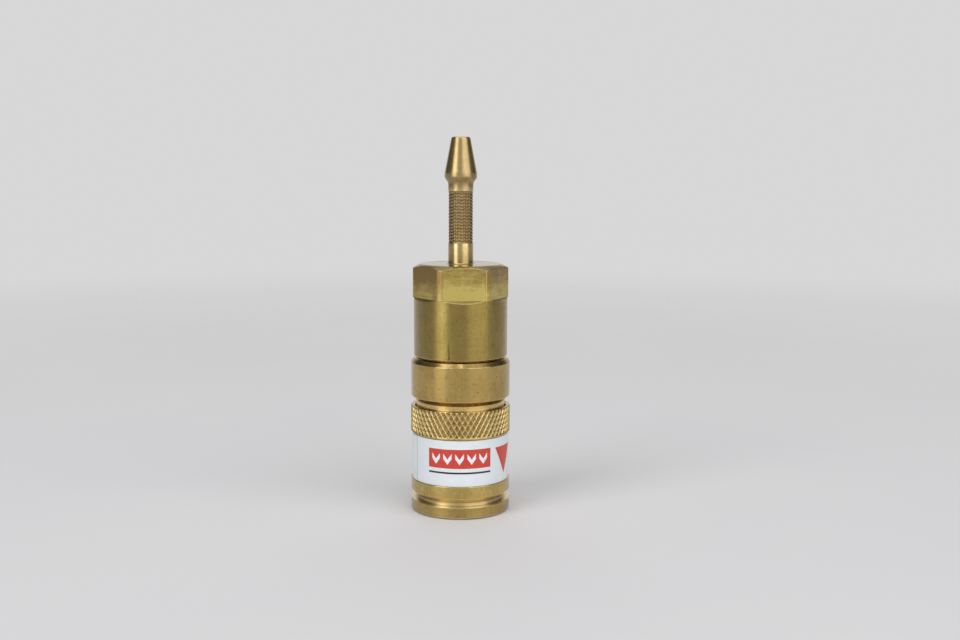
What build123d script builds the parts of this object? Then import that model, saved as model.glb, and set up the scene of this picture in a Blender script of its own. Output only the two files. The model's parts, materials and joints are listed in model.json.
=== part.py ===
from build123d import *
import math
import os

os.makedirs("parts", exist_ok=True)

# Quick disconnect coupler: a ball-lock socket with a shut-off valve, a non-return valve
# and a hose tail, in turned brass. Millimetres, +Z from the mouth up to the hose tail.
# The origin is the centre of the mouth's end face, which the coupler stands on.

# ---- Driving dimensions: the outside, from the mouth up ---------------------------------
OUTSIDE_R = 11.0  # the collar and the release sleeve, the largest radius
SLEEVE_LOW_Z = 0.2
GRIP_GROOVE_R = 9.8  # floor of the finger groove near the mouth
GRIP_GROOVE_LOW_Z = 2.7
GRIP_GROOVE_TOP_Z = 3.5
LABEL_SEAT_R = 10.7
LABEL_SEAT_LOW_Z = 7.3
LABEL_SEAT_TOP_Z = 17.5
LABEL_THICK = 0.12
LABEL_EDGE_GAP = 0.05
SLEEVE_BEVEL_Z = 23.5  # top of the knurled band
SLEEVE_TOP_Z = 23.65
NECK_R = 9.85  # the body just above the sleeve
COLLAR_CONE_LOW_Z = 24.8
COLLAR_LOW_Z = 25.9
COLLAR_CHAMFER_Z = 33.35
COLLAR_TOP_Z = 34.2
COLLAR_TOP_R = 10.35
HOUSING_R = 10.35
HOUSING_LOW_Z = 34.4
HOUSING_LOW_R = 9.9
FLATS_LOW_Z = 47.6
FLATS_TOP_Z = 55.0
FLATS_RUNOUT_DEG = 28.0  # slope of the ledge under each flat
HEX_ACROSS_FLATS = 18.8
HEX_CORNER_R = 10.55
HEX_CHAMFER_R = 8.87  # where the chamfer meets the top face
HEX_CHAMFER_DEG = 28.0
HEX_CHAMFER_CROWN = 0.04  # how far the chamfer bulges
HEX_TURN_DEG = 5.4  # the front flat's normal, from -Y towards +X
TAIL_R = 2.77
TAIL_FILLET_R = 0.4
TAIL_KNURL_R = 2.68
TAIL_KNURL_LOW_Z = 59.5
TAIL_KNURL_TOP_Z = 70.9
BARB_FOOT_Z = 72.3
BARB_R = 3.55
BARB_LAND_LOW_Z = 74.15
BARB_LAND_TOP_Z = 74.75
TIP_R = 2.08
TIP_EDGE_R = 0.2
TIP_Z = 82.55

# ---- Driving dimensions: the socket and its sleeve --------------------------------------
NOSE_R = 8.6  # outside of the body's nose, which the sleeve slides on
RUNNING_GAP = 0.05  # radial, between a sliding piece and its guide
SEAT_GAP = 0.02  # between faces of separate pieces that bear on each other
MOUTH_R = 7.0
MOUTH_CHAMFER = 0.6
ENTRY_R = 6.4
ENTRY_TOP_Z = 5.6
SOCKET_R = 6.2
SOCKET_TOP_Z = 10.4
PROBE_R = 5.0
PROBE_CONE_TOP_Z = 11.6
PROBE_TOP_Z = 17.0
SNAP_GROOVE_R = 8.33
SNAP_GROOVE_LOW_Z = 0.55
SNAP_GROOVE_TOP_Z = 1.45
SNAP_WIRE_R = 0.4
SNAP_GAP_DEG = 18.0
NECK_LOW_Z = 22.1  # shoulder that the sleeve spring bears on
SPRING_SEAT_Z = 9.5  # the sleeve's ledge under the same spring
SPRING_CHAMBER_R = 9.6
SLEEVE_REAR_BORE_R = 10.1
SLEEVE_REAR_BORE_Z = 20.5
SLEEVE_CATCH_R = 9.25  # counterbore that comes down on the snap ring
SLEEVE_CATCH_Z = 1.42
BALL_COUNT = 6
BALL_R = 1.5
BALL_Z = 7.4
BALL_CENTRE_R = 7.34
BALL_HOLE_R = 1.55
BALL_LIP_R = 1.05  # the narrowed inner end that keeps a ball from falling in
BALL_LIP_OUTER_R = 6.9
RELEASE_TAPER_DEG = 20.0  # half angle of the cone that lets the balls out
POCKET_R = 9.5
POCKET_LOW_Z = 4.5
CONE_TOP_Z = 8.24
SLEEVE_WIRE_R = 0.375
SLEEVE_COIL_R = 9.1
SLEEVE_TURNS = 7.25

# ---- Driving dimensions: plug seal and shut-off valve -----------------------------------
SEAL_GROOVE_R = 6.5
SEAL_GROOVE_LOW_Z = 13.0
SEAL_GROOVE_TOP_Z = 15.2
PLUG_SEAL_WIRE_R = 0.88
VALVE_THROAT_R = 3.6
VALVE_LIP_R = 4.2
VALVE_LIP_FOOT_R = 4.6
VALVE_LIP_Z = 18.0
VALVE_FLOOR_Z = 17.5
VALVE_CHAMBER_R = 5.6
GUIDE_SEAT_Z = 31.5
GUIDE_BORE_R = 6.2
GUIDE_TOP_Z = 33.0
CIRCLIP_GROOVE_R = 6.65
CIRCLIP_GROOVE_TOP_Z = 33.95
VALVE_PIN_R = 2.0
VALVE_PIN_LOW_Z = 12.6
VALVE_HEAD_R = 5.0
VALVE_HEAD_LOW_Z = 18.9
VALVE_HEAD_TOP_Z = 20.2
VALVE_STEM_R = 1.6
VALVE_STEM_TOP_Z = 33.8
VALVE_SPIGOT_R = 2.85  # short boss inside each end of the shut-off spring
VALVE_SPIGOT_LENGTH = 1.0
VALVE_SEAL_R = 4.7
SHUTOFF_COIL_R = 3.4
SHUTOFF_WIRE_R = 0.35
SHUTOFF_TURNS = 6.5
GUIDE_HOLE_CENTRE_R = 4.7
GUIDE_HOLE_R = 0.9
FLOW_HOLE_COUNT = 6

# ---- Driving dimensions: screwed joint, non-return valve and filter ---------------------
LAND_R = 7.6  # plain land under the housing's O-ring
THREAD_LOW_Z = 36.4
THREAD_R = 8.5  # the screw thread is left plain at its pitch surface
BODY_TOP_Z = 41.0
THREAD_CHAMFER = 0.4
HOUSING_SEAL_BORE_R = 9.15
HOUSING_SEAL_BORE_Z = 36.5
HOUSING_SEAL_WIRE_R = 0.74
HOUSING_SEAL_Z = 35.35
HOUSING_SHOULDER_Z = 41.6
HOUSING_CHAMBER_R = 6.5
HOUSING_CHAMBER_TOP_Z = 51.3
TAIL_HOLE_R = 2.8
CAGE_FLANGE_R = 8.4
CAGE_R = 6.42
CAGE_BORE_R = 5.7
CAGE_FLOOR_Z = 42.0
CAGE_TOP_Z = 47.58
CAGE_HUB_R = 2.0
CAGE_HUB_TOP_Z = 43.0
CAGE_HOLE_CENTRE_R = 3.9
CAGE_HOLE_R = 0.8
POPPET_STEM_R = 1.2
POPPET_LOW_Z = 40.0
POPPET_HEAD_R = 4.3
POPPET_HEAD_LOW_Z = 45.4
POPPET_HEAD_TOP_Z = 46.6
POPPET_NECK_R = 0.9
POPPET_RIVET_R = 1.6
POPPET_RIVET_Z = 47.32
POPPET_TOP_Z = 47.8
POPPET_SEAL_R = 4.1
CHECK_COIL_R = 2.4
CHECK_WIRE_R = 0.2
CHECK_TURNS = 4.5
CHECK_SEAT_Z = 47.6
CHECK_LIP_Z = 47.32
CHECK_THROAT_R = 2.4
CHECK_LIP_R = 2.9
CHECK_SEAT_TOP_Z = 49.05
SEAT_SEAL_GROOVE_R = 5.4
SEAT_SEAL_GROOVE_LOW_Z = 47.8
SEAT_SEAL_GROOVE_TOP_Z = 48.85
SEAT_SEAL_WIRE_R = 0.5
FILTER_R = 6.4
FILTER_LOW_Z = 49.1
FILTER_TOP_Z = 50.05
TAIL_FLANGE_R = 5.0
TAIL_FLANGE_LOW_Z = 50.1
TAIL_BORE_R = 1.5


def turn(points):
    """Revolve a closed outline of (radius, height) points about Z, in the open part."""
    with BuildSketch(Plane.XZ) as outline:
        with BuildLine():
            Polyline(points, close=True)
        make_face()
    revolve(outline.sketch, axis=Axis.Z)


def collar(inner_r, outer_r, low_z, high_z):
    """Outline of a plain ring."""
    return [(inner_r, low_z), (outer_r, low_z), (outer_r, high_z), (inner_r, high_z)]


def round_ring(mean_r, height, wire_r, arc=360.0):
    """Add a ring of round section, such as an O-ring, to the open part."""
    with BuildSketch(Plane.XZ) as section:
        with Locations((mean_r, height)):
            Circle(wire_r)
    revolve(section.sketch, axis=Axis.Z, revolution_arc=arc)


def coil(mean_r, wire_r, low_z, high_z, turns):
    """Add a compression spring that fills the space between two seats."""
    start_z = low_z + wire_r + SEAT_GAP
    height = high_z - wire_r - SEAT_GAP - start_z
    with BuildLine() as path:
        Helix(pitch=height / turns, height=height, radius=mean_r, center=(0, 0, start_z))
    with BuildSketch(Plane(origin=path.line @ 0, z_dir=path.line % 0)) as section:
        Circle(wire_r)
    sweep(section.sketch, path=path.line, is_frenet=True)


def flow_holes(centre_r, hole_r, start_z, depth):
    """Drill a ring of flow holes along Z through the open part."""
    with BuildSketch(Plane.XY.offset(start_z)) as pattern:
        with PolarLocations(centre_r, FLOW_HOLE_COUNT):
            Circle(hole_r)
    extrude(pattern.sketch, amount=depth, mode=Mode.SUBTRACT)


# ---- Coupling body ----------------------------------------------------------------------
# One radial ball hole, lying along +X: straight from outside, then narrowed to a lip.
HOLE_OUTER_R = NOSE_R + 1.0
HOLE_INNER_R = SOCKET_R - 1.0
with BuildPart() as ball_hole:
    with BuildSketch(Plane.XZ):
        with BuildLine():
            Polyline(
                (HOLE_INNER_R, BALL_Z),
                (HOLE_INNER_R, BALL_Z + BALL_LIP_R),
                (SOCKET_R, BALL_Z + BALL_LIP_R),
                (BALL_LIP_OUTER_R, BALL_Z + BALL_HOLE_R),
                (HOLE_OUTER_R, BALL_Z + BALL_HOLE_R),
                (HOLE_OUTER_R, BALL_Z),
                close=True,
            )
        make_face()
    revolve(axis=Axis((0, 0, BALL_Z), (1, 0, 0)))

with BuildPart() as coupling_body:
    nose_and_collar = [
        (MOUTH_R, 0.0),
        (NOSE_R - 0.25, 0.0),
        (NOSE_R, 0.25),
        (NOSE_R, SNAP_GROOVE_LOW_Z),
        (SNAP_GROOVE_R, SNAP_GROOVE_LOW_Z),
        (SNAP_GROOVE_R, SNAP_GROOVE_TOP_Z),
        (NOSE_R, SNAP_GROOVE_TOP_Z),
        (NOSE_R, NECK_LOW_Z),
        (NECK_R, NECK_LOW_Z),
        (NECK_R, COLLAR_CONE_LOW_Z),
        (OUTSIDE_R, COLLAR_LOW_Z),
        (OUTSIDE_R, COLLAR_CHAMFER_Z),
        (COLLAR_TOP_R, COLLAR_TOP_Z),
        (LAND_R, COLLAR_TOP_Z),
        (LAND_R, THREAD_LOW_Z),
        (THREAD_R - THREAD_CHAMFER, THREAD_LOW_Z),
        (THREAD_R, THREAD_LOW_Z + THREAD_CHAMFER),
        (THREAD_R, BODY_TOP_Z - THREAD_CHAMFER),
        (THREAD_R - THREAD_CHAMFER, BODY_TOP_Z),
        (GUIDE_BORE_R, BODY_TOP_Z),
    ]
    bores_from_the_top_down = [
        (GUIDE_BORE_R, CIRCLIP_GROOVE_TOP_Z),
        (CIRCLIP_GROOVE_R, CIRCLIP_GROOVE_TOP_Z),
        (CIRCLIP_GROOVE_R, GUIDE_TOP_Z),
        (GUIDE_BORE_R, GUIDE_TOP_Z),
        (GUIDE_BORE_R, GUIDE_SEAT_Z),
        (VALVE_CHAMBER_R, GUIDE_SEAT_Z),
        (VALVE_CHAMBER_R, VALVE_FLOOR_Z),
        (VALVE_LIP_FOOT_R, VALVE_FLOOR_Z),
        (VALVE_LIP_R, VALVE_LIP_Z),
        (VALVE_THROAT_R, VALVE_LIP_Z),
        (VALVE_THROAT_R, PROBE_TOP_Z),
        (PROBE_R, PROBE_TOP_Z),
        (PROBE_R, SEAL_GROOVE_TOP_Z),
        (SEAL_GROOVE_R, SEAL_GROOVE_TOP_Z),
        (SEAL_GROOVE_R, SEAL_GROOVE_LOW_Z),
        (PROBE_R, SEAL_GROOVE_LOW_Z),
        (PROBE_R, PROBE_CONE_TOP_Z),
        (SOCKET_R, SOCKET_TOP_Z),
        (SOCKET_R, ENTRY_TOP_Z),
        (ENTRY_R, ENTRY_TOP_Z),
        (ENTRY_R, MOUTH_CHAMFER),
    ]
    turn(nose_and_collar + bores_from_the_top_down)
    with PolarLocations(0, BALL_COUNT):
        add(ball_hole.part, mode=Mode.SUBTRACT)
coupling_body.part.label = "coupling_body"
export_step(coupling_body.part, "parts/coupling_body.step")

# ---- Locking balls, one in each radial hole -----------------------------------------------
for number in range(BALL_COUNT):
    ball_angle = math.radians(number * 360.0 / BALL_COUNT)
    ball_x = BALL_CENTRE_R * math.cos(ball_angle)
    ball_y = BALL_CENTRE_R * math.sin(ball_angle)
    with BuildPart() as locking_ball:
        with Locations((ball_x, ball_y, BALL_Z)):
            Sphere(BALL_R)
    locking_ball.part.label = f"locking_ball_{number + 1}"
    export_step(locking_ball.part, f"parts/locking_ball_{number + 1}.step")

# ---- Release sleeve with its label, spring and snap ring ----------------------------------
SLEEVE_BORE_R = NOSE_R + RUNNING_GAP
CONE_LOW_Z = CONE_TOP_Z - (POCKET_R - SLEEVE_BORE_R) / math.tan(math.radians(RELEASE_TAPER_DEG))
with BuildPart() as release_sleeve:
    outside = [
        (SLEEVE_CATCH_R, SLEEVE_LOW_Z),
        (OUTSIDE_R - 0.25, SLEEVE_LOW_Z),
        (OUTSIDE_R, SLEEVE_LOW_Z + 0.25),
        (OUTSIDE_R, GRIP_GROOVE_LOW_Z),
        (GRIP_GROOVE_R, GRIP_GROOVE_LOW_Z),
        (GRIP_GROOVE_R, GRIP_GROOVE_TOP_Z),
        (OUTSIDE_R, GRIP_GROOVE_TOP_Z + OUTSIDE_R - GRIP_GROOVE_R),
        (OUTSIDE_R, LABEL_SEAT_LOW_Z),
        (LABEL_SEAT_R, LABEL_SEAT_LOW_Z),
        (LABEL_SEAT_R, LABEL_SEAT_TOP_Z),
        (OUTSIDE_R, LABEL_SEAT_TOP_Z + 0.35),
        (OUTSIDE_R, SLEEVE_BEVEL_Z),
        (OUTSIDE_R - 0.15, SLEEVE_TOP_Z),
        (SLEEVE_REAR_BORE_R + 0.25, SLEEVE_TOP_Z),
    ]
    bores = [
        (SLEEVE_REAR_BORE_R, SLEEVE_TOP_Z - 0.25),
        (SLEEVE_REAR_BORE_R, SLEEVE_REAR_BORE_Z),
        (SPRING_CHAMBER_R, SLEEVE_REAR_BORE_Z),
        (SPRING_CHAMBER_R, SPRING_SEAT_Z),
        (SLEEVE_BORE_R, SPRING_SEAT_Z),
        (SLEEVE_BORE_R, CONE_TOP_Z),
        (POCKET_R, CONE_LOW_Z),
        (POCKET_R, POCKET_LOW_Z),
        (SLEEVE_BORE_R, POCKET_LOW_Z),
        (SLEEVE_BORE_R, SLEEVE_CATCH_Z),
        (SLEEVE_CATCH_R, SLEEVE_CATCH_Z),
    ]
    turn(outside + bores)
release_sleeve.part.label = "release_sleeve"
export_step(release_sleeve.part, "parts/release_sleeve.step")

with BuildPart() as sleeve_label:
    label_low_z = LABEL_SEAT_LOW_Z + LABEL_EDGE_GAP
    label_top_z = LABEL_SEAT_TOP_Z - LABEL_EDGE_GAP
    turn(collar(LABEL_SEAT_R, LABEL_SEAT_R + LABEL_THICK, label_low_z, label_top_z))
sleeve_label.part.label = "sleeve_label"
export_step(sleeve_label.part, "parts/sleeve_label.step")

with BuildPart() as sleeve_spring:
    coil(SLEEVE_COIL_R, SLEEVE_WIRE_R, SPRING_SEAT_Z, NECK_LOW_Z, SLEEVE_TURNS)
sleeve_spring.part.label = "sleeve_spring"
export_step(sleeve_spring.part, "parts/sleeve_spring.step")

with BuildPart() as sleeve_retaining_ring:
    snap_mean_r = SNAP_GROOVE_R + SEAT_GAP + SNAP_WIRE_R
    snap_z = (SNAP_GROOVE_LOW_Z + SNAP_GROOVE_TOP_Z) / 2
    round_ring(snap_mean_r, snap_z, SNAP_WIRE_R, 360.0 - SNAP_GAP_DEG)
sleeve_retaining_ring.part.label = "sleeve_retaining_ring"
export_step(sleeve_retaining_ring.part, "parts/sleeve_retaining_ring.step")

# ---- Plug seal and shut-off valve ---------------------------------------------------------
with BuildPart() as plug_seal:
    plug_seal_r = SEAL_GROOVE_R - SEAT_GAP - PLUG_SEAL_WIRE_R
    round_ring(plug_seal_r, (SEAL_GROOVE_LOW_Z + SEAL_GROOVE_TOP_Z) / 2, PLUG_SEAL_WIRE_R)
plug_seal.part.label = "plug_seal"
export_step(plug_seal.part, "parts/plug_seal.step")

with BuildPart() as shutoff_valve:
    valve_outline = [
        (0.0, VALVE_PIN_LOW_Z),
        (VALVE_PIN_R - 0.3, VALVE_PIN_LOW_Z),
        (VALVE_PIN_R, VALVE_PIN_LOW_Z + 0.3),
        (VALVE_PIN_R, VALVE_HEAD_LOW_Z),
        (VALVE_HEAD_R, VALVE_HEAD_LOW_Z),
        (VALVE_HEAD_R, VALVE_HEAD_TOP_Z - 0.3),
        (VALVE_HEAD_R - 0.3, VALVE_HEAD_TOP_Z),
        (VALVE_SPIGOT_R, VALVE_HEAD_TOP_Z),
        (VALVE_SPIGOT_R, VALVE_HEAD_TOP_Z + VALVE_SPIGOT_LENGTH),
        (VALVE_STEM_R, VALVE_HEAD_TOP_Z + VALVE_SPIGOT_LENGTH),
        (VALVE_STEM_R, VALVE_STEM_TOP_Z - 0.3),
        (VALVE_STEM_R - 0.3, VALVE_STEM_TOP_Z),
        (0.0, VALVE_STEM_TOP_Z),
    ]
    turn(valve_outline)
shutoff_valve.part.label = "shutoff_valve"
export_step(shutoff_valve.part, "parts/shutoff_valve.step")

with BuildPart() as shutoff_valve_seal:
    seal_low_z = VALVE_LIP_Z + SEAT_GAP
    seal_top_z = VALVE_HEAD_LOW_Z - SEAT_GAP
    turn(collar(VALVE_PIN_R + SEAT_GAP, VALVE_SEAL_R, seal_low_z, seal_top_z))
shutoff_valve_seal.part.label = "shutoff_valve_seal"
export_step(shutoff_valve_seal.part, "parts/shutoff_valve_seal.step")

with BuildPart() as shutoff_spring:
    coil(SHUTOFF_COIL_R, SHUTOFF_WIRE_R, VALVE_HEAD_TOP_Z, GUIDE_SEAT_Z, SHUTOFF_TURNS)
shutoff_spring.part.label = "shutoff_spring"
export_step(shutoff_spring.part, "parts/shutoff_spring.step")

with BuildPart() as shutoff_guide:
    guide_outline = [
        (VALVE_STEM_R + RUNNING_GAP, GUIDE_SEAT_Z - VALVE_SPIGOT_LENGTH),
        (VALVE_SPIGOT_R, GUIDE_SEAT_Z - VALVE_SPIGOT_LENGTH),
        (VALVE_SPIGOT_R, GUIDE_SEAT_Z),
        (GUIDE_BORE_R - RUNNING_GAP, GUIDE_SEAT_Z),
        (GUIDE_BORE_R - RUNNING_GAP, GUIDE_TOP_Z),
        (VALVE_STEM_R + RUNNING_GAP, GUIDE_TOP_Z),
    ]
    turn(guide_outline)
    flow_holes(GUIDE_HOLE_CENTRE_R, GUIDE_HOLE_R, GUIDE_SEAT_Z, GUIDE_TOP_Z - GUIDE_SEAT_Z)
shutoff_guide.part.label = "shutoff_guide"
export_step(shutoff_guide.part, "parts/shutoff_guide.step")

# An internal circlip: a ring with a gap, and an eyed lug at each end of it.
CIRCLIP_R = CIRCLIP_GROOVE_R - RUNNING_GAP
CIRCLIP_WIDTH = 1.0
CIRCLIP_GAP = 2.6
LUG_R = 0.95
LUG_EYE_R = 0.4
LUG_Y = CIRCLIP_GAP / 2 + LUG_R
LUG_X = math.sqrt((CIRCLIP_R - LUG_R) ** 2 - LUG_Y**2)
with BuildPart() as guide_circlip:
    with BuildSketch(Plane.XY.offset(GUIDE_TOP_Z + SEAT_GAP)):
        Circle(CIRCLIP_R)
        Circle(CIRCLIP_R - CIRCLIP_WIDTH, mode=Mode.SUBTRACT)
        with Locations((CIRCLIP_R, 0)):
            Rectangle(CIRCLIP_R, CIRCLIP_GAP, mode=Mode.SUBTRACT)
        with Locations((LUG_X, LUG_Y), (LUG_X, -LUG_Y)):
            Circle(LUG_R)
            Circle(LUG_EYE_R, mode=Mode.SUBTRACT)
    extrude(amount=CIRCLIP_GROOVE_TOP_Z - GUIDE_TOP_Z - 2 * SEAT_GAP)
guide_circlip.part.label = "guide_circlip"
export_step(guide_circlip.part, "parts/guide_circlip.step")

# ---- Inlet housing and its O-ring -----------------------------------------------------------
with BuildPart() as housing_seal:
    round_ring(LAND_R + SEAT_GAP + HOUSING_SEAL_WIRE_R, HOUSING_SEAL_Z, HOUSING_SEAL_WIRE_R)
housing_seal.part.label = "housing_seal"
export_step(housing_seal.part, "parts/housing_seal.step")

CHAMFER_DROP = (HEX_CORNER_R - HEX_CHAMFER_R) * math.tan(math.radians(HEX_CHAMFER_DEG))
HOUSING_CHAMFER = HOUSING_R - HOUSING_LOW_R
with BuildPart() as inlet_housing:
    with BuildSketch(Plane.XZ):
        with BuildLine():
            Polyline(
                (HEX_CHAMFER_R, FLATS_TOP_Z),
                (TAIL_HOLE_R, FLATS_TOP_Z),
                (TAIL_HOLE_R, HOUSING_CHAMBER_TOP_Z),
                (HOUSING_CHAMBER_R, HOUSING_CHAMBER_TOP_Z),
                (HOUSING_CHAMBER_R, HOUSING_SHOULDER_Z),
                (THREAD_R + SEAT_GAP, HOUSING_SHOULDER_Z),
                (THREAD_R + SEAT_GAP, HOUSING_SEAL_BORE_Z),
                (HOUSING_SEAL_BORE_R, HOUSING_SEAL_BORE_Z),
                (HOUSING_SEAL_BORE_R, HOUSING_LOW_Z),
                (HOUSING_LOW_R, HOUSING_LOW_Z),
                (HOUSING_R, HOUSING_LOW_Z + HOUSING_CHAMFER),
                (HOUSING_R, FLATS_LOW_Z),
                (HEX_CORNER_R, FLATS_LOW_Z),
                (HEX_CORNER_R, FLATS_TOP_Z - CHAMFER_DROP),
            )
            SagittaArc(
                (HEX_CORNER_R, FLATS_TOP_Z - CHAMFER_DROP),
                (HEX_CHAMFER_R, FLATS_TOP_Z),
                HEX_CHAMFER_CROWN,
            )
        make_face()
    revolve(axis=Axis.Z)
    flat_r = HEX_ACROSS_FLATS / 2
    runout = (OUTSIDE_R - flat_r) * math.tan(math.radians(FLATS_RUNOUT_DEG))
    for number in range(6):
        with BuildSketch(Plane.XZ.rotated((0, 0, HEX_TURN_DEG - 90.0 + 60.0 * number))):
            with BuildLine():
                Polyline(
                    (flat_r, FLATS_LOW_Z),
                    (OUTSIDE_R, FLATS_LOW_Z - runout),
                    (OUTSIDE_R, FLATS_TOP_Z + 1.0),
                    (flat_r, FLATS_TOP_Z + 1.0),
                    close=True,
                )
            make_face()
        extrude(amount=OUTSIDE_R / 2, both=True, mode=Mode.SUBTRACT)
inlet_housing.part.label = "inlet_housing"
export_step(inlet_housing.part, "parts/inlet_housing.step")

# ---- Hose tail: flange inside the housing, plain and knurled neck, one barb ---------------
with BuildPart() as hose_tail:
    with BuildSketch(Plane.XZ):
        with BuildLine():
            Polyline(
                (TAIL_BORE_R, TIP_Z),
                (TAIL_BORE_R, TAIL_FLANGE_LOW_Z),
                (TAIL_FLANGE_R, TAIL_FLANGE_LOW_Z),
                (TAIL_FLANGE_R, HOUSING_CHAMBER_TOP_Z - SEAT_GAP),
                (TAIL_R, HOUSING_CHAMBER_TOP_Z - SEAT_GAP),
                (TAIL_R, FLATS_TOP_Z),
                (TAIL_R + TAIL_FILLET_R, FLATS_TOP_Z),
            )
            RadiusArc(
                (TAIL_R + TAIL_FILLET_R, FLATS_TOP_Z),
                (TAIL_R, FLATS_TOP_Z + TAIL_FILLET_R),
                -TAIL_FILLET_R,
            )
            Polyline(
                (TAIL_R, FLATS_TOP_Z + TAIL_FILLET_R),
                (TAIL_R, TAIL_KNURL_LOW_Z),
                (TAIL_KNURL_R, TAIL_KNURL_LOW_Z),
                (TAIL_KNURL_R, TAIL_KNURL_TOP_Z),
                (TAIL_R, TAIL_KNURL_TOP_Z),
                (TAIL_R, BARB_FOOT_Z),
            )
            Spline(
                (TAIL_R, BARB_FOOT_Z),
                (BARB_R, BARB_LAND_LOW_Z),
                tangents=((0, 1), (0, 1)),
            )
            Polyline(
                (BARB_R, BARB_LAND_LOW_Z),
                (BARB_R, BARB_LAND_TOP_Z),
                (TIP_R, TIP_Z - TIP_EDGE_R),
                (TIP_R - TIP_EDGE_R, TIP_Z),
                (TAIL_BORE_R, TIP_Z),
            )
        make_face()
    revolve(axis=Axis.Z)
hose_tail.part.label = "hose_tail"
export_step(hose_tail.part, "parts/hose_tail.step")

with BuildPart() as inlet_filter:
    with BuildSketch(Plane.XY.offset(FILTER_LOW_Z)):
        Circle(FILTER_R)
    extrude(amount=FILTER_TOP_Z - FILTER_LOW_Z)
inlet_filter.part.label = "inlet_filter"
export_step(inlet_filter.part, "parts/inlet_filter.step")

# ---- Non-return valve ---------------------------------------------------------------------
with BuildPart() as check_valve_seat:
    seat_outline = [
        (CHECK_THROAT_R, CHECK_LIP_Z),
        (CHECK_LIP_R, CHECK_LIP_Z),
        (CHECK_LIP_R + 0.2, CHECK_SEAT_Z),
        (CAGE_R, CHECK_SEAT_Z),
        (CAGE_R, SEAT_SEAL_GROOVE_LOW_Z),
        (SEAT_SEAL_GROOVE_R, SEAT_SEAL_GROOVE_LOW_Z),
        (SEAT_SEAL_GROOVE_R, SEAT_SEAL_GROOVE_TOP_Z),
        (CAGE_R, SEAT_SEAL_GROOVE_TOP_Z),
        (CAGE_R, CHECK_SEAT_TOP_Z),
        (CHECK_THROAT_R, CHECK_SEAT_TOP_Z),
    ]
    turn(seat_outline)
check_valve_seat.part.label = "check_valve_seat"
export_step(check_valve_seat.part, "parts/check_valve_seat.step")

with BuildPart() as check_seat_seal:
    seat_seal_r = SEAT_SEAL_GROOVE_R + SEAT_GAP + SEAT_SEAL_WIRE_R
    seat_seal_z = (SEAT_SEAL_GROOVE_LOW_Z + SEAT_SEAL_GROOVE_TOP_Z) / 2
    round_ring(seat_seal_r, seat_seal_z, SEAT_SEAL_WIRE_R)
check_seat_seal.part.label = "check_seat_seal"
export_step(check_seat_seal.part, "parts/check_seat_seal.step")

with BuildPart() as check_valve_cage:
    cage_outline = [
        (POPPET_STEM_R + RUNNING_GAP, BODY_TOP_Z + SEAT_GAP),
        (CAGE_FLANGE_R, BODY_TOP_Z + SEAT_GAP),
        (CAGE_FLANGE_R, HOUSING_SHOULDER_Z - SEAT_GAP),
        (CAGE_R, HOUSING_SHOULDER_Z - SEAT_GAP),
        (CAGE_R, CAGE_TOP_Z),
        (CAGE_BORE_R, CAGE_TOP_Z),
        (CAGE_BORE_R, CAGE_FLOOR_Z),
        (CAGE_HUB_R, CAGE_FLOOR_Z),
        (CAGE_HUB_R, CAGE_HUB_TOP_Z),
        (POPPET_STEM_R + RUNNING_GAP, CAGE_HUB_TOP_Z),
    ]
    turn(cage_outline)
    flow_holes(CAGE_HOLE_CENTRE_R, CAGE_HOLE_R, BODY_TOP_Z, CAGE_FLOOR_Z - BODY_TOP_Z)
check_valve_cage.part.label = "check_valve_cage"
export_step(check_valve_cage.part, "parts/check_valve_cage.step")

# The poppet's end is riveted over its sealing disc.
with BuildPart() as check_valve_poppet:
    poppet_outline = [
        (0.0, POPPET_LOW_Z),
        (POPPET_STEM_R - 0.3, POPPET_LOW_Z),
        (POPPET_STEM_R, POPPET_LOW_Z + 0.3),
        (POPPET_STEM_R, POPPET_HEAD_LOW_Z),
        (POPPET_HEAD_R, POPPET_HEAD_LOW_Z),
        (POPPET_HEAD_R, POPPET_HEAD_TOP_Z),
        (POPPET_NECK_R, POPPET_HEAD_TOP_Z),
        (POPPET_NECK_R, POPPET_RIVET_Z),
        (POPPET_RIVET_R, POPPET_RIVET_Z),
        (POPPET_RIVET_R - 0.3, POPPET_TOP_Z),
        (0.0, POPPET_TOP_Z),
    ]
    turn(poppet_outline)
check_valve_poppet.part.label = "check_valve_poppet"
export_step(check_valve_poppet.part, "parts/check_valve_poppet.step")

with BuildPart() as check_valve_seal:
    disc_low_z = POPPET_HEAD_TOP_Z + SEAT_GAP
    disc_top_z = CHECK_LIP_Z - SEAT_GAP
    turn(collar(POPPET_NECK_R + SEAT_GAP, POPPET_SEAL_R, disc_low_z, disc_top_z))
check_valve_seal.part.label = "check_valve_seal"
export_step(check_valve_seal.part, "parts/check_valve_seal.step")

with BuildPart() as check_valve_spring:
    coil(CHECK_COIL_R, CHECK_WIRE_R, CAGE_FLOOR_Z, POPPET_HEAD_LOW_Z, CHECK_TURNS)
check_valve_spring.part.label = "check_valve_spring"
export_step(check_valve_spring.part, "parts/check_valve_spring.step")
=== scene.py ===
import json
import math

import bmesh
import bpy
import numpy as np
from mathutils import Matrix, Vector


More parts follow.
